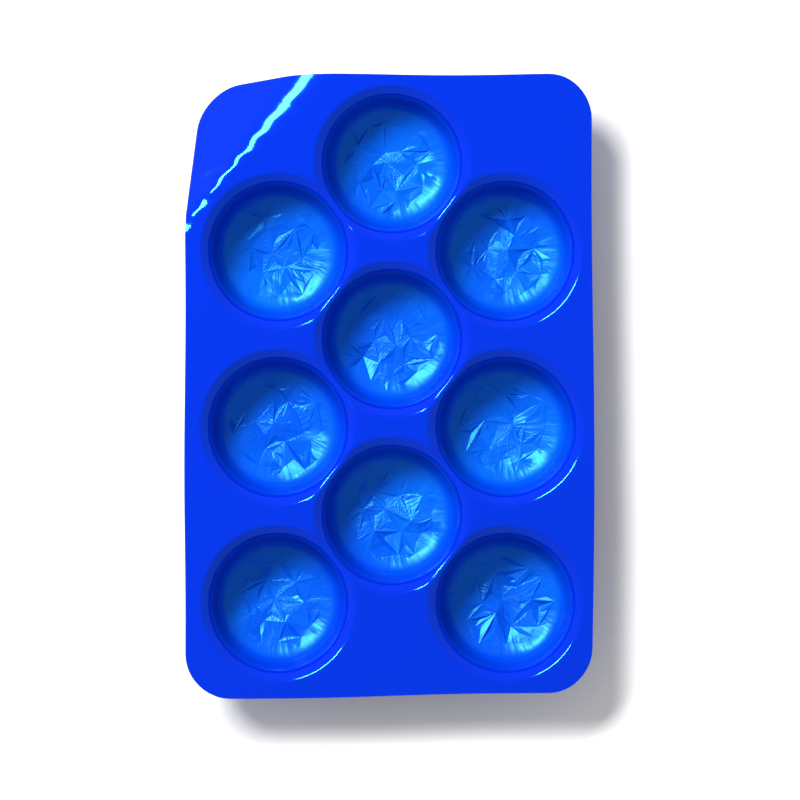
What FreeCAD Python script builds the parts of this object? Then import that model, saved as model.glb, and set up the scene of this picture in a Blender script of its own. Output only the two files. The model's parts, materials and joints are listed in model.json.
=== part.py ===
"""Fruit packing tray, thermoformed from one sheet of polypropylene.

Nine round pockets stand in three staggered columns.  A sloping lip runs round each mouth, and where two
lips meet, the sheet between the pockets drops to a low saddle.  The pocket floors, where the sheet was
stretched thinnest, are crumpled, and one corner of the flange is bent down.

Millimetres and degrees.  +X is the width, +Y the length and +Z up, with the origin under the middle of the
tray, on the surface that the pockets stand on.
"""
import FreeCAD, Part
import math
import os
import random

V = FreeCAD.Vector
UP = V(0, 0, 1)

# The sheet, and the depth that it is drawn to
SHEET = 0.4                 # wall after forming
DRAWN_DEPTH = 29.6          # flange face down to the lowest point of a pocket floor
CORNER_ROUND = 22.0         # plan radius of the trimmed corners

# One pocket: a lip, a drafted wall with the turn between them broken by a bevel, and a pleated bowl
MOUTH_RADIUS = 32.4         # where the lip would meet the wall
LIP_WIDTH = 5.0
LIP_DROP = 3.4
MOUTH_BEVEL = 2.0           # cut back along lip and wall
WALL_DRAFT = 13.0           # lean of the wall from upright
WALL_DROP = 6.0

# The bowl's crumpled sheet: a flat, and round it pleats that die out into the wall
PLEATS = 12                 # each has a ridge and a valley
PLEAT_DEPTH = 1.6           # ridge to valley where the pleats are deepest
PLEAT_STRAY = 0.3           # how unevenly they are spaced, as a share of their step
SHALLOWEST_PLEAT = 0.3      # share of the full depth that the weakest pleat still has
CREASE_RINGS = (            # radius, height over the floor, stray of the radius, share of the pleat depth
    (10.0, 0.0, 0.20, 0.0),
    (20.0, 2.2, 0.10, 1.0),
    (27.5, 7.4, 0.02, 0.5),
)
BOWL_SEAL = 0.9             # the bowl's form is closed inside the pocket's, at this share of the foot's radius

# The pattern: pockets in one column are parted by a tongue of flange, neighbours across columns by a ridge
ROWS = 3
TONGUE_WIDTH = 9.8
RIDGE_WIDTH = 4.4
SADDLE_DROP = 2.8           # the ridge's lowest point, below the flange
SADDLE_SPAN = 31.0          # length of the dip along the ridge

# Flange left outside the rims
LEFT_FLANGE = 7.4
RIGHT_FLANGE = 5.0
FAR_FLANGE = 5.3
NEAR_FLANGE = 8.7
NEAR_RISE = 4.0             # the near edge is trimmed askew, and is this much farther in at the right side

# The corner that is bent down, beside the first pocket of the left column
BEND_ANGLE = 38.0
BEND_RADIUS = 10.0
BEND_CLEARANCE = 1.9        # from that pocket's rim to where the bend starts
BEND_HEADING = 141.0        # plan direction in which the corner drops away, from +X

# Worked out
RIM_RADIUS = MOUTH_RADIUS + LIP_WIDTH
PITCH = 2 * RIM_RADIUS + TONGUE_WIDTH
COLUMN_STEP = math.sqrt((2 * MOUTH_RADIUS + RIDGE_WIDTH) ** 2 - (PITCH / 2) ** 2)
WIDTH = LEFT_FLANGE + 2 * COLUMN_STEP + 2 * RIM_RADIUS + RIGHT_FLANGE
LENGTH = FAR_FLANGE + (ROWS - 0.5) * PITCH + 2 * RIM_RADIUS + NEAR_FLANGE
FLANGE_Z = DRAWN_DEPTH + SHEET
WALL_FOOT_Z = FLANGE_Z - LIP_DROP - WALL_DROP
OVERLAP = SHEET / 2         # how far a form reaches into the flange that it joins


def polar(radius, degrees, z=0.0):
    """A point at a radius and plan angle."""
    return V(radius * math.cos(math.radians(degrees)), radius * math.sin(math.radians(degrees)), z)


def pocket_centres():
    """Plan centres, column by column from the left, each from the far end to the near end."""
    middle_x = -WIDTH / 2 + LEFT_FLANGE + RIM_RADIUS + COLUMN_STEP
    far_y = LENGTH / 2 - FAR_FLANGE - RIM_RADIUS
    columns = [(middle_x - COLUMN_STEP, 0.5), (middle_x, 0.0), (middle_x + COLUMN_STEP, 0.5)]
    return [[V(x, far_y - (row + stagger) * PITCH, 0) for row in range(ROWS)] for x, stagger in columns]


def crossing(p, along_p, q, along_q):
    """Where two lines in the XZ plane cross."""
    turn = along_p.x * along_q.z - along_p.z * along_q.x
    reach = ((q.x - p.x) * along_q.z - (q.z - p.z) * along_q.x) / turn
    return p + along_p * reach


def pocket_section(skin):
    """Corners of a pocket's half section from the wall's foot to the rim, in the XZ plane.

    With skin 0 they lie on the sheet's upper face, and with skin SHEET on its underside.
    """
    draft = math.radians(WALL_DRAFT)
    up_wall = V(math.sin(draft), 0, math.cos(draft))
    up_lip = V(LIP_WIDTH, 0, LIP_DROP).normalize()
    up_bevel = (up_wall + up_lip).normalize()
    mouth = V(MOUTH_RADIUS, 0, FLANGE_Z - LIP_DROP)
    corner = mouth - up_wall * MOUTH_BEVEL

    def under(point, along):
        return point + V(along.z, 0, -along.x) * skin

    wall = under(mouth, up_wall), up_wall
    bevel = under(corner, up_bevel), up_bevel
    lip = under(mouth, up_lip), up_lip
    foot = crossing(*wall, V(0, 0, WALL_FOOT_Z - skin), V(1, 0, 0))
    rim = crossing(*lip, V(0, 0, FLANGE_Z - skin), V(1, 0, 0))
    return [foot, crossing(*wall, *bevel), crossing(*bevel, *lip), rim]


def pocket_form(skin, top):
    """The round part of a pocket, turned about its axis and closed off above its rim."""
    section = pocket_section(skin)
    section += [V(section[-1].x, 0, top), V(0, 0, top), V(0, 0, section[0].z)]
    return Part.Face(Part.makePolygon(section + section[:1])).revolve(V(0, 0, 0), UP, 360)


def bowl_form(skin, seed):
    """The pleated bowl under a pocket's wall, as flat facets between rings of crease points."""
    chance = random.Random(seed)
    foot = pocket_section(skin)[0]
    curve = [(0, 0)] + [ring[:2] for ring in CREASE_RINGS] + [(pocket_section(0)[0].x, WALL_FOOT_Z - SHEET)]
    slopes = [math.atan2(z1 - z0, r1 - r0) for (r0, z0), (r1, z1) in zip(curve, curve[1:])]
    spokes = range(2 * PLEATS)
    step = 180.0 / PLEATS
    turn = chance.uniform(0, 360)
    rings = []
    for (radius, height, stray, fold), below, above in zip(CREASE_RINGS, slopes, slopes[1:]):
        lean, mitre = (below + above) / 2, skin / math.cos((above - below) / 2)
        ring = []
        for k in spokes:
            side = 1 if k % 2 else -1
            angle = turn + (k + chance.uniform(-PLEAT_STRAY, PLEAT_STRAY)) * step
            r = radius * (1 + chance.uniform(-stray, stray)) + mitre * math.sin(lean)
            pleat = side * fold * PLEAT_DEPTH / 2 * chance.uniform(SHALLOWEST_PLEAT, 1)
            ring.append(polar(r, angle, SHEET + height + pleat - mitre * math.cos(lean)))
        rings.append(ring)
    rings.append([polar(foot.x, turn + k * step, foot.z) for k in spokes])
    rings.append([V(p.x * BOWL_SEAL, p.y * BOWL_SEAL, p.z + WALL_DROP / 2) for p in rings[-1]])
    faces = [Part.Face(Part.makePolygon(ring + ring[:1])) for ring in (rings[0], rings[-1])]
    for lower, upper in zip(rings, rings[1:]):
        for k in spokes:
            j = (k + 1) % len(spokes)
            for a, b, c in ((lower[k], lower[j], upper[k]), (lower[j], upper[j], upper[k])):
                faces.append(Part.Face(Part.makePolygon([a, b, c, a])))
    return Part.Solid(Part.Shell(faces))


def saddle_form(skin, a, b, top):
    """The dip across the ridge between two pockets, a lying cylinder cut off at its top."""
    radius = (SADDLE_SPAN ** 2 / 4 + SADDLE_DROP ** 2) / (2 * SADDLE_DROP)
    along = (b - a).normalize()
    length = a.distanceToPoint(b) - MOUTH_RADIUS
    middle = (a + b) / 2
    start = middle - along * (length / 2) + UP * (FLANGE_Z - SADDLE_DROP + radius)
    trough = Part.makeCylinder(radius + skin, length, start, along)
    low = middle + V(-SADDLE_SPAN, -SADDLE_SPAN, FLANGE_Z - 2 * SADDLE_DROP)
    return trough.common(Part.makeBox(2 * SADDLE_SPAN, 2 * SADDLE_SPAN, top - low.z, low))


def formed(skin, top):
    """Every pocket, bowl and saddle, as one solid."""
    columns = pocket_centres()
    pocket = pocket_form(skin, top)
    forms = []
    for number, centre in enumerate(sum(columns, [])):
        forms.append(pocket.translated(centre))
        forms.append(bowl_form(skin, number).translated(centre))
    middle = columns[1]
    for side in (columns[0], columns[2]):
        for a in middle:
            for b in side:
                if a.distanceToPoint(b) < PITCH:
                    forms.append(saddle_form(skin, a, b, top))
    return forms[0].multiFuse(forms[1:])


def bend_start():
    """A point on the line where the bend begins, and the plan direction in which the corner drops."""
    outward = polar(1, BEND_HEADING)
    return pocket_centres()[0][0] + outward * (RIM_RADIUS + BEND_CLEARANCE), outward


def folded(point):
    """Where a point of the flat sheet lies in plan once the corner is bent."""
    origin, outward = bend_start()
    beyond = (point - origin).dot(outward)
    angle = math.radians(BEND_ANGLE)
    arc = BEND_RADIUS * angle
    if beyond <= 0:
        return point
    if beyond <= arc:
        plan = BEND_RADIUS * math.sin(beyond / BEND_RADIUS)
    else:
        plan = BEND_RADIUS * math.sin(angle) + (beyond - arc) * math.cos(angle)
    return point + outward * (plan - beyond)


def edge_point(p, q, beyond):
    """The point of edge p-q that lies a given distance past the start of the bend."""
    origin, outward = bend_start()
    from_p = (p - origin).dot(outward)
    from_q = (q - origin).dot(outward)
    return p + (q - p) * ((beyond - from_p) / (from_q - from_p))


def rounded(before, corner, after):
    """Where a corner's round begins, its crown and where it ends."""
    back, ahead = (before - corner).normalize(), (after - corner).normalize()
    half = back.getAngle(ahead) / 2
    run = CORNER_ROUND / math.tan(half)
    crown = (back + ahead).normalize() * (CORNER_ROUND / math.sin(half) - CORNER_ROUND)
    return [corner + back * run, corner + crown, corner + ahead * run]


def outline():
    """The trimmed edge in plan, with the bent corner as it lies after bending."""
    x, y = WIDTH / 2, LENGTH / 2
    slope = NEAR_RISE / WIDTH
    near_left, near_right = -y - slope * CORNER_ROUND, -y + slope * (WIDTH - CORNER_ROUND)
    corners = [V(-x, y, 0), V(-x, near_left, 0), V(x, near_right, 0), V(x, y, 0)]
    bent, *others = [rounded(corners[k - 1], corners[k], corners[(k + 1) % 4]) for k in range(4)]
    arc = BEND_RADIUS * math.radians(BEND_ANGLE)
    far_bend = [folded(edge_point(others[-1][2], bent[0], beyond)) for beyond in (0, arc / 2, arc)]
    left_bend = [folded(edge_point(bent[2], others[0][0], beyond)) for beyond in (arc, arc / 2, 0)]
    arcs = [far_bend, [folded(point) for point in bent], left_bend] + others
    edges = []
    for turn, following in zip(arcs, arcs[1:] + arcs[:1]):
        edges.append(Part.Arc(*turn).toShape())
        edges.append(Part.LineSegment(turn[2], following[0]).toShape())
    return Part.Wire(edges)


def flange():
    """The flat sheet with its bent corner, trimmed to the outline."""
    origin, outward = bend_start()
    reach = WIDTH + LENGTH
    angle = math.radians(BEND_ANGLE)
    centre = origin + UP * (FLANGE_Z - BEND_RADIUS)

    def at(radius, turn):
        return centre + outward * (radius * math.sin(turn)) + UP * (radius * math.cos(turn))

    fall = outward * math.cos(angle) - UP * math.sin(angle)
    faces = []
    for radius in (BEND_RADIUS, BEND_RADIUS - SHEET):
        inner, crown, outer = at(radius, 0), at(radius, angle / 2), at(radius, angle)
        faces.append((inner - outward * reach, inner, crown, outer, outer + fall * reach))
    (u0, u1, u2, u3, u4), (l0, l1, l2, l3, l4) = faces
    section = Part.Wire([
        Part.LineSegment(u0, u1).toShape(), Part.Arc(u1, u2, u3).toShape(), Part.LineSegment(u3, u4).toShape(),
        Part.LineSegment(u4, l4).toShape(), Part.LineSegment(l4, l3).toShape(), Part.Arc(l3, l2, l1).toShape(),
        Part.LineSegment(l1, l0).toShape(), Part.LineSegment(l0, u0).toShape(),
    ])
    along = outward.cross(UP)
    section.translate(along * -reach)
    bent = Part.Face(section).extrude(along * 2 * reach)
    blank = Part.Face(outline()).extrude(UP * 2 * FLANGE_Z)
    return bent.common(blank)


def tray():
    """The whole sheet: flange and undersides joined, then everything above the sheet taken away."""
    under = formed(SHEET, FLANGE_Z - OVERLAP)
    above = formed(0, FLANGE_Z + SHEET)
    return flange().fuse(under).cut(above).removeSplitter()


if __name__ == "__main__":
    os.makedirs("parts", exist_ok=True)
    shape = tray()
    shape.exportStep("parts/tray.step")
    box = shape.BoundBox
    print("solids", len(shape.Solids), "valid", shape.isValid(), "faces", len(shape.Faces))
    print("size", round(box.XLength, 2), round(box.YLength, 2), round(box.ZLength, 2), "from", round(box.ZMin, 3))
    print("volume", round(shape.Volume, 1))
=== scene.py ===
"""A fruit packing tray, thermoformed from glossy blue polypropylene sheet."""
import json
import math

import bmesh
import bpy
import numpy as np
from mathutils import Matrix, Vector
from mathutils.geometry import delaunay_2d_cdt


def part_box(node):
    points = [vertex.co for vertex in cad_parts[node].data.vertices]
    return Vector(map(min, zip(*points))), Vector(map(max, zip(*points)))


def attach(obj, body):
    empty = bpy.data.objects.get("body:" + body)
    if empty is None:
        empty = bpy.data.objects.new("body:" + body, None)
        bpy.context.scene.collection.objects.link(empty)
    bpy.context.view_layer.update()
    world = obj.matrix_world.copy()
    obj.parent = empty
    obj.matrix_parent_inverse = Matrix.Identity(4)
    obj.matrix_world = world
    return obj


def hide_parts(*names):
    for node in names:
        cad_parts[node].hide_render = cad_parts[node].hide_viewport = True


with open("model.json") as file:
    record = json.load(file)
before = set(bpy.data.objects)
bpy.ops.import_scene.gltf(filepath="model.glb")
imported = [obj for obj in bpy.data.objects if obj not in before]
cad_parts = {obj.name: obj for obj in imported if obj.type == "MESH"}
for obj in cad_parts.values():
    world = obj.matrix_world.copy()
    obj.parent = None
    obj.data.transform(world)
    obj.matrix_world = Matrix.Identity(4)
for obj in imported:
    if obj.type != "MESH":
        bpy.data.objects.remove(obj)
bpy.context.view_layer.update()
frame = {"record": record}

MM = 0.001

# ---- The tray, in millimetres: its box and pocket centres come from the frame, the rest are its own sizes
TRAY_HIGH = np.array(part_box("tray")[1]) / MM
FLANGE_Z = TRAY_HIGH[2]
SHEET = 0.4
CORNER_ROUND = 22.0
CORNER_STEPS = 12           # straight runs round each trimmed corner
NEAR_RISE = 4.0             # the near edge is this much farther in at its right end

MOUTH_RADIUS = 32.4
LIP_WIDTH = 5.0
LIP_DROP = 4.0
LIP_ROUND = 2.0             # how far up the lip the turn into the mouth reaches
RIM_ROUND = 0.7

BOWL_FLAT = 8.5
BOWL_FLOOR = 1.9            # mean height of the crumpled floor above the surface that the tray stands on
BOWL_EDGE = (28.0, 7.8)     # radius and height at which the crumpled floor turns up into the wall
BOWL_EDGE_SLOPE = math.radians(46)
FLAT_PULL = (9.0, 1.0)      # run and rise over which the floor's curve leaves the flat
EDGE_PULL_IN = 4.0          # how far the edge's slope is held inwards, and up the wall
EDGE_PULL_UP = 6.5
LIP_PULL = 5.0
CURVE_POINTS = 80
SECTION_POINTS = 240

SADDLE_DROP = 2.8
SADDLE_SPAN = 31.0
NEIGHBOUR_REACH = 75.0      # pockets whose centres are nearer than this share a ridge

BEND_ANGLE = math.radians(38)
BEND_RADIUS = 10.0
WIDE_BEND_RADIUS = 32.0     # at the sheet's edges, away from the pocket that stiffens the bend
WIDENING = (15.0, 62.0)     # distances to the side between which the bend widens
BEND_CLEARANCE = 1.9
BEND_HEADING = math.radians(141)
DENT_DEPTH = 0.55           # shallow buckles along the bend
DENT_LENGTHS = (3.9, 7.3)
FINE_DENT_DEPTH = 0.22
FINE_DENT_LENGTHS = (2.1, 3.0)
DENT_START = (-1.0, 3.0)    # where they rise, beyond the bend's start
DENT_FADE = 9.0             # how far beyond the bend's end they die out


def pocket_centres():
    """Plan centres, from the boxes that the record keeps clear in the pockets."""
    boxes = [opening["box_m"] for opening in frame["record"]["physics"]["openings"]]
    centres = []
    for low, high in boxes:
        centre = (np.array(low[:2]) + high[:2]) / 2 / MM
        if all(np.hypot(*(centre - other)) > MOUTH_RADIUS for other in centres):
            centres.append(centre)
    return np.array(centres)


CENTRES = pocket_centres()
RIM_RADIUS = MOUTH_RADIUS + LIP_WIDTH


def smooth(low, high, value):
    """0 below low, 1 above high, with an even turn between."""
    t = np.clip((value - low) / (high - low), 0, 1)
    return t * t * (3 - 2 * t)


def soft_min(a, b, reach):
    """The lower of two heights, rounded over where they cross."""
    h = np.clip(0.5 + 0.5 * (b - a) / reach, 0, 1)
    return b + (a - b) * h - reach * h * (1 - h)


# ---- Plan of the sheet: one cell per pocket, with spokes from its centre to the cell's edge
def blank_outline():
    """The flat sheet's outline: a rectangle with round corners and its near edge a little askew."""
    x, y = TRAY_HIGH[:2]
    slope = NEAR_RISE / (2 * x)
    near_left, near_right = -y - slope * CORNER_ROUND, -y + slope * (2 * x - CORNER_ROUND)
    corners = np.array([(x, y), (-x, y), (-x, near_left), (x, near_right)])
    points = []
    for before, corner, after in zip(np.roll(corners, 1, axis=0), corners, np.roll(corners, -1, axis=0)):
        back, ahead = (side / np.hypot(*side) for side in (before - corner, after - corner))
        half = math.acos(back @ ahead) / 2
        middle = corner + (back + ahead) / np.hypot(*(back + ahead)) * CORNER_ROUND / math.sin(half)
        spread = math.pi - 2 * half
        start = corner + back * CORNER_ROUND / math.tan(half) - middle
        for turn in np.linspace(0, spread, CORNER_STEPS + 1) + math.atan2(start[1], start[0]):
            points.append(middle + CORNER_ROUND * np.array([math.cos(turn), math.sin(turn)]))
    return np.array(points)


def cut_polygon(points, foot, normal):
    """The part of a convex polygon behind the line through foot that normal points away from."""
    kept = []
    for a, b in zip(points, np.roll(points, -1, axis=0)):
        side_a, side_b = np.dot(a - foot, normal), np.dot(b - foot, normal)
        if side_a <= 0:
            kept.append(a)
        if side_a * side_b < 0:
            kept.append(a + (b - a) * side_a / (side_a - side_b))
    return np.array(kept)


def cell_edge(centre, step):
    """Points round the edge of the sheet that is nearest to one pocket, about a step apart."""
    polygon = blank_outline()
    for other in CENTRES:
        if np.hypot(*(other - centre)) > MOUTH_RADIUS:
            polygon = cut_polygon(polygon, (centre + other) / 2, other - centre)
    edge = []
    for a, b in zip(polygon, np.roll(polygon, -1, axis=0)):
        count = max(1, round(float(np.hypot(*(b - a))) / step))
        edge += [a + (b - a) * k / count for k in range(count)]
    return np.array(edge)


# ---- Section of one pocket, from the middle of its floor out to its lip
def bezier(a, b, c, d):
    """Points along a curve that leaves a towards b and reaches d from c."""
    t = np.linspace(0, 1, CURVE_POINTS)[:, None]
    a, b, c, d = map(np.array, (a, b, c, d))
    return a * (1 - t) ** 3 + 3 * b * t * (1 - t) ** 2 + 3 * c * t * t * (1 - t) + d * t ** 3


def pocket_section():
    """Distances along a pocket's half section from its middle, with the place and direction at each."""
    up_edge = np.array([math.cos(BOWL_EDGE_SLOPE), math.sin(BOWL_EDGE_SLOPE)])
    up_lip = np.array([LIP_WIDTH, LIP_DROP]) / math.hypot(LIP_WIDTH, LIP_DROP)
    floor, edge = np.array([BOWL_FLAT, BOWL_FLOOR]), np.array(BOWL_EDGE)
    lip = np.array([MOUTH_RADIUS, FLANGE_Z - LIP_DROP]) + up_lip * LIP_ROUND
    path = np.vstack([
        [[0.0, BOWL_FLOOR]],
        bezier(floor, floor + FLAT_PULL, edge - up_edge * EDGE_PULL_IN, edge),
        bezier(edge, edge + up_edge * EDGE_PULL_UP, lip - up_lip * LIP_PULL, lip)[1:],
    ])
    along = np.concatenate([[0], np.cumsum(np.hypot(*np.diff(path, axis=0).T))])
    even = np.linspace(0, along[-1], SECTION_POINTS)
    path = np.column_stack([np.interp(even, along, path[:, 0]), np.interp(even, along, path[:, 1])])
    direction = np.gradient(path, even, axis=0)
    return even, path, direction / np.hypot(*direction.T)[:, None]


REST_GAP = 0.02             # left under the lowest folds
SECTION_ALONG, SECTION_PATH, SECTION_DIRECTION = pocket_section()
BOWL_REACH = float(np.interp(BOWL_EDGE[1], SECTION_PATH[:, 1], SECTION_ALONG))


def section_at(along, push):
    """Radius and height at distances along the section, pushed off it, but never below the tray's rest."""
    radius, height = (np.interp(along, SECTION_ALONG, SECTION_PATH[:, k]) for k in (0, 1))
    out, up = (np.interp(along, SECTION_ALONG, SECTION_DIRECTION[:, k]) for k in (0, 1))
    return radius - up * push, np.maximum(height + out * push, SHEET + REST_GAP)


def lip_height(radius):
    """Height of a lone pocket's lip and the flange round it."""
    slope = FLANGE_Z - LIP_DROP + (radius - MOUTH_RADIUS) * LIP_DROP / LIP_WIDTH
    return soft_min(slope, FLANGE_Z, RIM_ROUND)


def flange_height(x, y):
    """Height of the flange, the lips and the saddles between neighbouring pockets."""
    height = np.full_like(x, FLANGE_Z)
    for cx, cy in CENTRES:
        lip = FLANGE_Z - LIP_DROP + (np.hypot(x - cx, y - cy) - MOUTH_RADIUS) * LIP_DROP / LIP_WIDTH
        height = soft_min(height, lip, RIM_ROUND)
    radius = (SADDLE_SPAN ** 2 / 4 + SADDLE_DROP ** 2) / (2 * SADDLE_DROP)
    for i, a in enumerate(CENTRES):
        for b in CENTRES[i + 1:]:
            gap = float(np.hypot(*(b - a)))
            if gap > NEIGHBOUR_REACH:
                continue
            middle, along = (a + b) / 2, (b - a) / gap
            off = (x - middle[0]) * -along[1] + (y - middle[1]) * along[0]
            run = (x - middle[0]) * along[0] + (y - middle[1]) * along[1]
            near = (np.abs(off) < SADDLE_SPAN) & (np.abs(run) < gap / 2)
            trough = FLANGE_Z - SADDLE_DROP + radius - np.sqrt(np.maximum(radius ** 2 - off ** 2, 0))
            height = np.where(near, soft_min(height, trough, RIM_ROUND), height)
    return height


# ---- Creases of the thin pocket floors, laid out on the floor unrolled about its middle
FOLD_STEP = 11.0            # long folds
FOLD_HEIGHT = 2.2
FOLD_FADE = (10.0, 23.0)
CREASE_STEP = 4.6           # short creases inside the panels between folds
CREASE_HEIGHT = 0.22
CREASE_SWAY = 0.8           # how far creases stray from straight
SWAY_LENGTHS = ((5.1, 2.4), (5.7, 2.7))
SWAY_FADE = 20.0
FILL_STEP = 2.2             # plain points that follow the bowl's curve
FILL_CLEARANCE = 0.8        # from a crease
EDGE_CLEARANCE = 3.0        # between the outermost creases and the bowl's edge
GRID_ROW = 0.866            # between the rows of a triangular grid, as a share of its step
GRID_SHAKE = 0.3

DRAPES = 7                  # long soft folds that run out to the wall
DRAPE_HEIGHT = 1.25
DRAPE_LEAST = 0.4           # share of the height that the weakest still has
DRAPE_WIDTHS = (1.8, 3.6)
DRAPE_STRAY = 0.35          # how unevenly they are spaced, as a share of their step
DRAPE_CURVE = 0.02
DRAPE_RISE = (3.0, 9.0)
DRAPE_FADE = (19.0, 28.0)

PLEATS = 15                 # the gathers where the floor climbs towards the wall
PLEAT_HEIGHT = 0.3
PLEAT_LEAST = 0.2
PLEAT_STRAY = 0.3
PLEAT_RISE = (9.0, 17.0)
PLEAT_FADE = 22.0
FLOOR_SEED = 11


def scattered(chance, reach, spacing):
    """Points of a shaken triangular grid within a distance of the middle."""
    count = int(reach / spacing / GRID_ROW) + 1
    row, column = np.mgrid[-count:count + 1, -count:count + 1]
    points = np.column_stack([(column + 0.5 * (row % 2)).ravel(), row.ravel() * GRID_ROW]) * spacing
    points += chance.uniform(-GRID_SHAKE, GRID_SHAKE, points.shape) * spacing
    return points[np.hypot(*points.T) < reach]


def far_from(points, lines, clearance):
    """Which points lie farther than a clearance from every line of an array of line ends."""
    start, run = lines[:, 0], lines[:, 1] - lines[:, 0]
    offset = points[:, None] - start
    share = np.clip((offset * run).sum(axis=2) / (run * run).sum(axis=1), 0, 1)
    return np.hypot(*np.moveaxis(offset - run * share[:, :, None], 2, 0)).min(axis=1) > clearance


def triangulated(points, edges):
    """Triangulates points with some edges kept: the points, the triangles and each point's source points."""
    found = delaunay_2d_cdt([Vector(p) for p in points], edges, [], 0, 1e-4)
    return np.array(found[0]), found[2], found[3]


def sides(triangles):
    """Every side of some triangles, once."""
    return sorted({(min(a, b), max(a, b)) for t in triangles for a, b in zip(t, t[1:] + t[:1])})


def height_on(corners, heights, triangles, u, v):
    """Height of a sheet creased into triangles at points u, v."""
    result = np.zeros_like(u)
    for i, j, k in triangles:
        (ax, ay), (bx, by), (cx, cy) = corners[[i, j, k]]
        area = (bx - ax) * (cy - ay) - (cx - ax) * (by - ay)
        s = ((u - ax) * (cy - ay) - (v - ay) * (cx - ax)) / area
        t = ((v - ay) * (bx - ax) - (u - ax) * (by - ay)) / area
        value = heights[i] * (1 - s - t) + heights[j] * s + heights[k] * t
        result = np.where((s >= 0) & (t >= 0) & (s + t <= 1), value, result)
    return result


def creased_sheet(chance):
    """Corners, heights and triangles of a sheet with long folds, and short creases between them."""
    folds = scattered(chance, BOWL_REACH + 2 * FOLD_STEP, FOLD_STEP)
    fold_heights = FOLD_HEIGHT * chance.uniform(-1, 1, len(folds))
    _, fold_triangles, _ = triangulated(folds, [])
    fold_sides = sides(fold_triangles)
    creases = scattered(chance, BOWL_REACH + FOLD_STEP, CREASE_STEP)
    creases = creases[far_from(creases, folds[np.array(fold_sides)], CREASE_STEP / 3)]
    heights = height_on(folds, fold_heights, fold_triangles, *creases.T)
    heights += CREASE_HEIGHT * chance.uniform(-1, 1, len(creases))
    corners, triangles, _ = triangulated(np.vstack([folds, creases]), fold_sides)
    return corners, np.concatenate([fold_heights, heights]), triangles


def pleat_height(chance, angle):
    """Height round a bowl that is gathered into radial pleats, with straight runs between uneven creases."""
    count = 2 * PLEATS
    knots = (np.arange(count) + chance.uniform(-PLEAT_STRAY, PLEAT_STRAY, count)) * 2 * math.pi / count
    heights = np.where(np.arange(count) % 2, 1.0, -1.0) * chance.uniform(PLEAT_LEAST, 1, count)
    return PLEAT_HEIGHT * np.interp(angle, knots, heights, period=2 * math.pi)


def draped_height(chance, u, v):
    """Height of long soft folds that run from near the middle of a bowl out to its wall."""
    total = np.zeros_like(u)
    steps = np.arange(DRAPES) + chance.uniform(-DRAPE_STRAY, DRAPE_STRAY, DRAPES)
    for heading in steps * 2 * math.pi / DRAPES:
        run = u * math.cos(heading) + v * math.sin(heading)
        off = v * math.cos(heading) - u * math.sin(heading)
        off += chance.uniform(-DRAPE_CURVE, DRAPE_CURVE) * run ** 2
        ridge = np.exp(-(off / chance.uniform(*DRAPE_WIDTHS)) ** 2) * chance.uniform(DRAPE_LEAST, 1)
        ridge = ridge * chance.choice((-1, 1))
        total += ridge * smooth(*DRAPE_RISE, run) * (1 - smooth(*DRAPE_FADE, run))
    return DRAPE_HEIGHT * total


def crumpled_floor(number, angles):
    """Unrolled points, their displacement and the triangles of one bowl, the points of its edge first."""
    chance = np.random.default_rng(number + FLOOR_SEED)
    corners, heights, panels = creased_sheet(chance)
    spokes = len(angles)
    ring = BOWL_REACH * np.column_stack([np.cos(angles), np.sin(angles)])
    inner = np.flatnonzero(np.hypot(*corners.T) < BOWL_REACH - EDGE_CLEARANCE)
    renumber = {int(k): spokes + n for n, k in enumerate(inner)}
    kept_sides = [(a, b) for a, b in sides(panels) if a in renumber and b in renumber]
    fill = scattered(chance, BOWL_REACH - FILL_STEP / 2, FILL_STEP)
    fill = fill[far_from(fill, corners[np.array(kept_sides)], FILL_CLEARANCE)]
    edges = [(k, (k + 1) % spokes) for k in range(spokes)]
    edges += [(renumber[a], renumber[b]) for a, b in kept_sides]
    points, triangles, sources = triangulated(np.vstack([ring, corners[inner], fill]), edges)

    order = np.full(len(points), -1)
    for index, source in enumerate(sources):
        for k in source:
            if k < spokes:
                order[index] = k
    order[order < 0] = spokes + np.arange((order < 0).sum())
    placed = np.empty_like(points)
    placed[order] = points

    u, v = placed.T
    along, angle = np.hypot(u, v), np.arctan2(v, u)
    push = height_on(corners, heights, panels, u, v) * (1 - smooth(*FOLD_FADE, along))
    push += draped_height(chance, u, v)
    pleated = smooth(*PLEAT_RISE, along) * (1 - smooth(PLEAT_FADE, BOWL_REACH, along))
    push += pleat_height(chance, angle) * pleated
    sway = CREASE_SWAY * (1 - smooth(SWAY_FADE, BOWL_REACH - 4, along))
    phase = chance.uniform(0, 2 * math.pi, 4)
    (long_u, short_u), (long_v, short_v) = SWAY_LENGTHS
    swayed_u = u + sway * (np.sin(v / long_u + phase[0]) + 0.5 * np.sin(v / short_u + phase[1]))
    swayed_v = v + sway * (np.sin(u / long_v + phase[2]) + 0.5 * np.sin(u / short_v + phase[3]))
    along, angle = np.hypot(swayed_u, swayed_v), np.arctan2(swayed_v, swayed_u)
    return along, angle, push, [tuple(int(order[c]) for c in triangle) for triangle in triangles]


# ---- Bends and waves of the whole sheet
WAVE_HEIGHT = 0.7
WAVE_LENGTHS = (150, 110, 85, 64)
WAVE_SEED = 5
WAVE_FROM = 12.0            # height at which the pockets' walls begin to take part
SIDE_EDGES = (70.0, 98.0)   # distances from the middle between which the stray of the trimmed edges grows
END_EDGES = (115.0, 150.0)
LEFT_STRAY, LEFT_LENGTH = 0.3, 24.0
RIGHT_STRAY, RIGHT_LENGTH, RIGHT_START = 0.7, 45.0, 100.0
NEAR_STRAY, NEAR_LENGTH = 0.3, 21.0
FAR_STRAY, FAR_LENGTH = 0.4, 19.0


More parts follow.
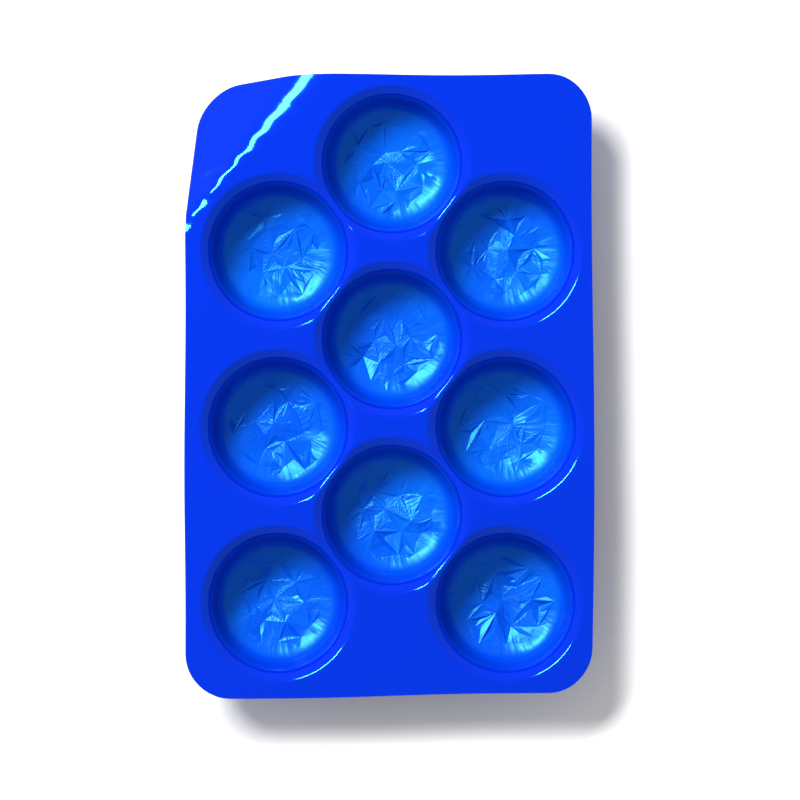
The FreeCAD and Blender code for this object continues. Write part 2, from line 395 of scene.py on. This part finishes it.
def gentle_wave(x, y):
    """A slow wave of the flange, from 0 to 1, as such a thin sheet never lies flat."""
    chance = np.random.default_rng(WAVE_SEED)
    total = np.zeros_like(x)
    for length in WAVE_LENGTHS:
        heading, phase = chance.uniform(0, math.pi), chance.uniform(0, 2 * math.pi)
        total += np.sin((x * math.cos(heading) + y * math.sin(heading)) * 2 * math.pi / length + phase)
    return 0.5 + total / (2 * len(WAVE_LENGTHS))


def wandering_edge(points):
    """Moves the trimmed edges a little inwards in plan, more the nearer a point is to them."""
    x, y = points[:, 0].copy(), points[:, 1].copy()
    left, right = smooth(*SIDE_EDGES, -x), smooth(*SIDE_EDGES, x)
    near, far = smooth(*END_EDGES, -y), smooth(*END_EDGES, y)
    points[:, 0] += left * LEFT_STRAY * (1 + np.sin(y / LEFT_LENGTH))
    points[:, 0] -= right * RIGHT_STRAY * (1 + np.cos((y - RIGHT_START) / RIGHT_LENGTH))
    points[:, 1] += near * NEAR_STRAY * (1 + np.sin(x / NEAR_LENGTH))
    points[:, 1] -= far * FAR_STRAY * (1 + np.sin(x / FAR_LENGTH))


def fold_corner(points):
    """Bends the far left corner down about its line, in place."""
    outward = np.array([math.cos(BEND_HEADING), math.sin(BEND_HEADING)])
    first = CENTRES[np.argmin(CENTRES[:, 0] - CENTRES[:, 1])]
    middle = first + outward * (RIM_RADIUS + BEND_CLEARANCE + BEND_RADIUS * math.tan(BEND_ANGLE / 2))
    side = (points[:, :2] - middle) @ np.array([outward[1], -outward[0]])
    radius = BEND_RADIUS + (WIDE_BEND_RADIUS - BEND_RADIUS) * smooth(*WIDENING, np.abs(side))
    beyond = (points[:, :2] - middle) @ outward + radius * math.tan(BEND_ANGLE / 2)
    lift = points[:, 2] - FLANGE_Z
    arc = radius * BEND_ANGLE
    turn = np.clip(beyond / radius, 0, BEND_ANGLE)
    dent = DENT_DEPTH * np.sin(side / DENT_LENGTHS[0]) * np.sin(side / DENT_LENGTHS[1] + 1)
    dent += FINE_DENT_DEPTH * np.sin(side / FINE_DENT_LENGTHS[0] + beyond / FINE_DENT_LENGTHS[1])
    dent *= (BEND_RADIUS / radius) ** 1.5
    lift = lift + dent * smooth(*DENT_START, beyond) * (1 - smooth(arc, arc + DENT_FADE, beyond))
    past = np.maximum(beyond - arc, 0)
    plan = (radius + lift) * np.sin(turn) + past * math.cos(BEND_ANGLE)
    level = FLANGE_Z - radius + (radius + lift) * np.cos(turn) - past * math.sin(BEND_ANGLE)
    bent = beyond > 0
    points[bent, :2] += (outward * (plan - beyond)[:, None])[bent]
    points[bent, 2] = level[bent]


# ---- The mesh
WALL_RINGS = 16
SPOKE_STEP = 2.6            # between spokes, at a cell's edge
NEAR_SHARE = 0.6            # share of the outer rings that lie by the lip, and the most that they reach out
PLAIN_RINGS, PLAIN_DENSE_TO = 20, 41.0
BENT_RINGS, BENT_DENSE_TO = 40, 50.0
LIP_BLEND = (29.0, 33.0)    # radii between which a wall takes on the dip of the saddles next to it
DRAWN_THIN = (24.0, 35.0)   # radii between which the thin drawn sheet gives way to the thick flange
FEATHER_TURN = 8.4          # radius of the circle that the feathers are laid round: about 53 of them
FEATHER_RUN = 12.857        # their length
CRUMPLED_REACH = 25.0
CREASE_ANGLE = math.radians(13)
TRIM_ANGLE = math.radians(50)


def outer_rings(start, edge, count, dense_to):
    """Radii from start to a cell's edge, closer together across the lip, one row per spoke."""
    share = np.linspace(0, 1, count + 1)[1:]
    near = np.minimum(NEAR_SHARE, (dense_to - start) / (edge - start))[:, None]
    beyond = near + (share - NEAR_SHARE) / (1 - NEAR_SHARE) * (1 - near)
    reach = np.where(share < NEAR_SHARE, share / NEAR_SHARE * near, beyond)
    return start + (edge - start)[:, None] * reach


def pocket_cell(number, centre):
    """Points, attributes and faces of the sheet round one pocket, and which points lie on its edge."""
    edge = cell_edge(centre, SPOKE_STEP)
    spokes = len(edge)
    angles = np.arctan2(edge[:, 1] - centre[1], edge[:, 0] - centre[0])
    to_edge = np.hypot(*(edge - centre).T)
    floor_along, floor_angle, floor_push, faces = crumpled_floor(number, angles)

    wall_along = np.linspace(BOWL_REACH, SECTION_ALONG[-1], WALL_RINGS + 1)[1:]
    wall_radius, wall_height = section_at(wall_along, 0)
    bent = number == int(np.argmin(CENTRES[:, 0] - CENTRES[:, 1]))
    outer_count, dense_to = (BENT_RINGS, BENT_DENSE_TO) if bent else (PLAIN_RINGS, PLAIN_DENSE_TO)
    outside = outer_rings(wall_radius[-1], to_edge, outer_count, dense_to)
    radius = np.hstack([np.broadcast_to(wall_radius, (spokes, WALL_RINGS)), outside])
    x = centre[0] + radius * np.cos(angles)[:, None]
    y = centre[1] + radius * np.sin(angles)[:, None]
    shared = (flange_height(x, y) - lip_height(radius)) * smooth(*LIP_BLEND, radius)
    alone = np.hstack([np.broadcast_to(wall_height, (spokes, WALL_RINGS)), lip_height(outside)])
    z = alone + shared

    floor_radius, floor_z = section_at(floor_along, floor_push)
    floor = np.column_stack([centre[0] + floor_radius * np.cos(floor_angle),
                             centre[1] + floor_radius * np.sin(floor_angle), floor_z])
    points = np.vstack([floor, np.column_stack([x.ravel(), y.ravel(), z.ravel()])])

    rings = np.arange(len(floor), len(points)).reshape(spokes, -1)
    grid = np.hstack([np.arange(spokes)[:, None], rings])
    after = np.roll(grid, -1, axis=0)
    for k in range(grid.shape[1] - 1):
        faces += [tuple(map(int, f)) for f in zip(grid[:, k], grid[:, k + 1], after[:, k + 1], after[:, k])]

    plain_floor_radius = np.interp(floor_along, SECTION_ALONG, SECTION_PATH[:, 0])
    plain_radius = np.concatenate([plain_floor_radius, radius.ravel()])
    plain_angle = np.concatenate([floor_angle, np.repeat(angles, radius.shape[1])])
    looks = {
        "draw": 1 - smooth(*DRAWN_THIN, plain_radius),
        "fan": np.column_stack([FEATHER_TURN * np.cos(plain_angle), FEATHER_TURN * np.sin(plain_angle),
                                plain_radius / FEATHER_RUN]),
    }
    on_edge = np.zeros(len(points), bool)
    on_edge[grid[:, -1]] = True
    return points, looks, faces, on_edge


def tray_surface():
    """The sheet's upper face, cell by cell, with the cells' shared edges joined."""
    points, faces = [], []
    looks = {"draw": [], "fan": []}
    seen = {}
    for number, centre in enumerate(CENTRES):
        cell_points, cell_looks, cell_faces, on_edge = pocket_cell(number, centre)
        index = np.empty(len(cell_points), int)
        for k, (point, edge) in enumerate(zip(cell_points, on_edge)):
            key = tuple(np.round(point[:2], 2) + 0.0) if edge else None
            if edge and key in seen:
                index[k] = seen[key]
                continue
            index[k] = len(points)
            points.append(point)
            for name, values in looks.items():
                values.append(cell_looks[name][k])
            if edge:
                seen[key] = index[k]
        faces += [tuple(int(index[c]) for c in face) for face in cell_faces]
    return np.array(points), {name: np.array(values) for name, values in looks.items()}, faces


def point_normals(points, faces):
    """Normals of the surface at its points."""
    normals = np.zeros_like(points)
    for size in (3, 4):
        group = np.array([f for f in faces if len(f) == size])
        diagonal = points[group[:, 2]] - points[group[:, 0]]
        other = points[group[:, -1]] - points[group[:, 1]]
        face_normal = np.cross(diagonal, other)
        for corner in range(size):
            np.add.at(normals, group[:, corner], face_normal)
    return normals / np.linalg.norm(normals, axis=1)[:, None]


def mark_creases(mesh):
    """Leaves the crumpled floors' edges crisp where they turn by more than a little, and the rest smooth."""
    shape = bmesh.new()
    shape.from_mesh(mesh)
    reach = np.array([vertex.co[:2] for vertex in shape.verts]) / MM
    distances = np.hypot(reach[:, :1] - CENTRES[:, 0], reach[:, 1:] - CENTRES[:, 1])
    inside = np.min(distances, axis=1) < CRUMPLED_REACH
    for edge in shape.edges:
        a, b = (v.index for v in edge.verts)
        limit = CREASE_ANGLE if inside[a] and inside[b] else TRIM_ANGLE
        edge.smooth = edge.calc_face_angle(0) < limit
    shape.to_mesh(mesh)
    shape.free()


def make_tray():
    """The whole sheet as one closed mesh: upper face, underside and trimmed edge."""
    top, looks, faces = tray_surface()
    top[:, 2] -= WAVE_HEIGHT * gentle_wave(top[:, 0], top[:, 1]) * smooth(WAVE_FROM, FLANGE_Z, top[:, 2])
    wandering_edge(top)
    fold_corner(top)
    under = top - point_normals(top, faces) * SHEET
    count = len(top)
    uses = {(a, b) for face in faces for a, b in zip(face, face[1:] + face[:1])}
    rim = [(b, a, a + count, b + count) for a, b in sorted(uses) if (b, a) not in uses]
    closed = faces + [tuple(c + count for c in reversed(face)) for face in faces] + rim
    mesh = bpy.data.meshes.new("tray_sheet")
    mesh.from_pydata((np.vstack([top, under]) * MM).tolist(), [], closed)
    mesh.polygons.foreach_set("use_smooth", [True] * len(mesh.polygons))
    mark_creases(mesh)
    for name, values in looks.items():
        both = np.concatenate([values, values])
        kind, field = ("FLOAT_VECTOR", "vector") if both.ndim > 1 else ("FLOAT", "value")
        mesh.attributes.new(name, kind, "POINT").data.foreach_set(field, both.ravel())
    tray = bpy.data.objects.new("tray_sheet", mesh)
    bpy.context.collection.objects.link(tray)
    return tray


# ---- Finishes
THICK_BLUE = "#0018AC"
THIN_DEEP_BLUE = "#001CB4"
THIN_PALE_BLUE = "#0060C8"
POLYPROPYLENE_IOR = 1.49
GLOSS_TINT = (0.12, 1.0, 0.95, 1.0)
FLANGE_ROUGHNESS = 0.1
DRAWN_ROUGHNESS = 0.34
MOTTLE_SPAN = 71.43         # over which the drawn sheet's thickness varies, about one pocket
FEATHER_HEIGHT = 0.6
PAPER_GREY = "#E0E0E0"


def linear(hex_colour):
    """An sRGB hex colour as linear red, green, blue and alpha."""
    channels = [int(hex_colour[k:k + 2], 16) / 255 for k in (1, 3, 5)]
    return [c / 12.92 if c <= 0.04045 else ((c + 0.055) / 1.055) ** 2.4 for c in channels] + [1.0]


def node(tree, kind, settings=None, **inputs):
    """Adds a node and fills its inputs, by name or as i and a number, with values or nodes' outputs."""
    made = tree.nodes.new(kind)
    for name, value in (settings or {}).items():
        setattr(made, name, value)
    for name, value in inputs.items():
        numbered = name[0] == "i" and name[1:].isdigit()
        socket = made.inputs[int(name[1:]) if numbered else name.replace("_", " ")]
        if isinstance(value, bpy.types.NodeSocket):
            tree.links.new(value, socket)
        else:
            socket.default_value = value
    return made


def new_material(name):
    """An empty node material and its tree."""
    material = bpy.data.materials.new(name)
    material.use_nodes = True
    tree = material.node_tree
    tree.nodes.clear()
    return material, tree


def thermoformed_polypropylene():
    """Glossy pigmented polypropylene sheet, drawn hot into a mould.

    The thick flange is deep blue with sharp reflections. Where the sheet is drawn thin it holds less
    pigment and its face is puckered, so it looks paler, and its shine is broad and soft. Reflections lose
    their red to the pigment and come out cyan.
    """
    material, tree = new_material("thermoformed_polypropylene")
    draw = node(tree, "ShaderNodeAttribute", {"attribute_name": "draw"}).outputs["Fac"]
    fan = node(tree, "ShaderNodeAttribute", {"attribute_name": "fan"}).outputs["Vector"]
    place = node(tree, "ShaderNodeTexCoord").outputs["Object"]
    mottle = node(tree, "ShaderNodeTexNoise", Vector=place, Scale=1 / (MOTTLE_SPAN * MM), Detail=5.0)
    thin = node(tree, "ShaderNodeMix", {"data_type": "RGBA"}, i0=mottle.outputs["Fac"],
                i6=linear(THIN_DEEP_BLUE), i7=linear(THIN_PALE_BLUE))
    sheet = node(tree, "ShaderNodeMix", {"data_type": "RGBA"}, i0=draw,
                 i6=linear(THICK_BLUE), i7=thin.outputs[2])
    roughness = node(tree, "ShaderNodeMapRange", Value=draw, To_Min=FLANGE_ROUGHNESS, To_Max=DRAWN_ROUGHNESS)
    # One unit of this noise is one feather, as the fan attribute counts them
    feathers = node(tree, "ShaderNodeTexNoise", Vector=fan, Scale=1.0, Detail=1.5, Roughness=0.5)
    depth = node(tree, "ShaderNodeMath", {"operation": "MULTIPLY"}, i0=feathers.outputs["Fac"], i1=draw)
    bump = node(tree, "ShaderNodeBump", Height=depth.outputs[0], Strength=0.6, Distance=FEATHER_HEIGHT * MM)
    shader = node(tree, "ShaderNodeBsdfPrincipled", Base_Color=sheet.outputs[2],
                  Roughness=roughness.outputs[0], IOR=POLYPROPYLENE_IOR,
                  Specular_Tint=GLOSS_TINT, Normal=bump.outputs[0])
    node(tree, "ShaderNodeOutputMaterial", Surface=shader.outputs[0])
    return material


def matt_paper():
    """Uncoated paper: pale and without a shine, so that it shows only the tray's shadow."""
    material, tree = new_material("matt_paper")
    shader = node(tree, "ShaderNodeBsdfPrincipled", Base_Color=linear(PAPER_GREY), Roughness=0.9)
    node(tree, "ShaderNodeOutputMaterial", Surface=shader.outputs[0])
    return material


# ---- Stage, in metres
FLOOR_REACH = 3.0
FLOOR_GAP = 0.0003          # under the tray
KEY_HEADING = math.radians(132)
KEY_ZENITH = math.radians(42)
KEY_DISTANCE = 2.0
KEY_WIDTH = 1.0
KEY_HEIGHT = 0.46
KEY_WATTS = 82
WORLD_STRENGTH = 0.62
LENS = 200
VIEW_WIDTH = 0.3835
VIEW_MIDDLE = (0.0051, -0.0064)


def make_floor():
    """A wide flat floor just under the tray."""
    corners = ((-FLOOR_REACH, -FLOOR_REACH), (FLOOR_REACH, -FLOOR_REACH),
               (FLOOR_REACH, FLOOR_REACH), (-FLOOR_REACH, FLOOR_REACH))
    mesh = bpy.data.meshes.new("floor")
    mesh.from_pydata([(x, y, -FLOOR_GAP) for x, y in corners], [], [(0, 1, 2, 3)])
    floor = bpy.data.objects.new("floor", mesh)
    bpy.context.collection.objects.link(floor)
    floor.data.materials.append(matt_paper())


def make_key_lamp():
    """An oblong softbox, wide across and narrow in height, aimed at the tray from its far left."""
    lamp = bpy.data.lights.new("key", "AREA")
    lamp.shape = "RECTANGLE"
    lamp.size = KEY_WIDTH
    lamp.size_y = KEY_HEIGHT
    lamp.energy = KEY_WATTS
    holder = bpy.data.objects.new("key", lamp)
    level = math.sin(KEY_ZENITH)
    direction = Vector((math.cos(KEY_HEADING) * level, math.sin(KEY_HEADING) * level, math.cos(KEY_ZENITH)))
    holder.location = direction * KEY_DISTANCE
    holder.rotation_euler = direction.to_track_quat("Z", "Y").to_euler()
    bpy.context.collection.objects.link(holder)


def make_world():
    """Even pale light from all round."""
    world = bpy.data.worlds.new("world")
    world.use_nodes = True
    background = world.node_tree.nodes["Background"]
    background.inputs["Color"].default_value = (1, 1, 1, 1)
    background.inputs["Strength"].default_value = WORLD_STRENGTH
    bpy.context.scene.world = world


def make_camera():
    """Looks straight down on the tray through a long lens."""
    lens = bpy.data.cameras.new("camera")
    lens.lens = LENS
    lens.clip_end = 10
    camera = bpy.data.objects.new("camera", lens)
    camera.location = (*VIEW_MIDDLE, FLANGE_Z * MM + VIEW_WIDTH * LENS / lens.sensor_width)
    bpy.context.collection.objects.link(camera)
    bpy.context.scene.camera = camera


tray = make_tray()
tray.data.materials.append(thermoformed_polypropylene())
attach(tray, "root")
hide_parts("tray")

make_floor()
make_key_lamp()
make_world()
make_camera()
bpy.context.scene.view_settings.view_transform = "Standard"
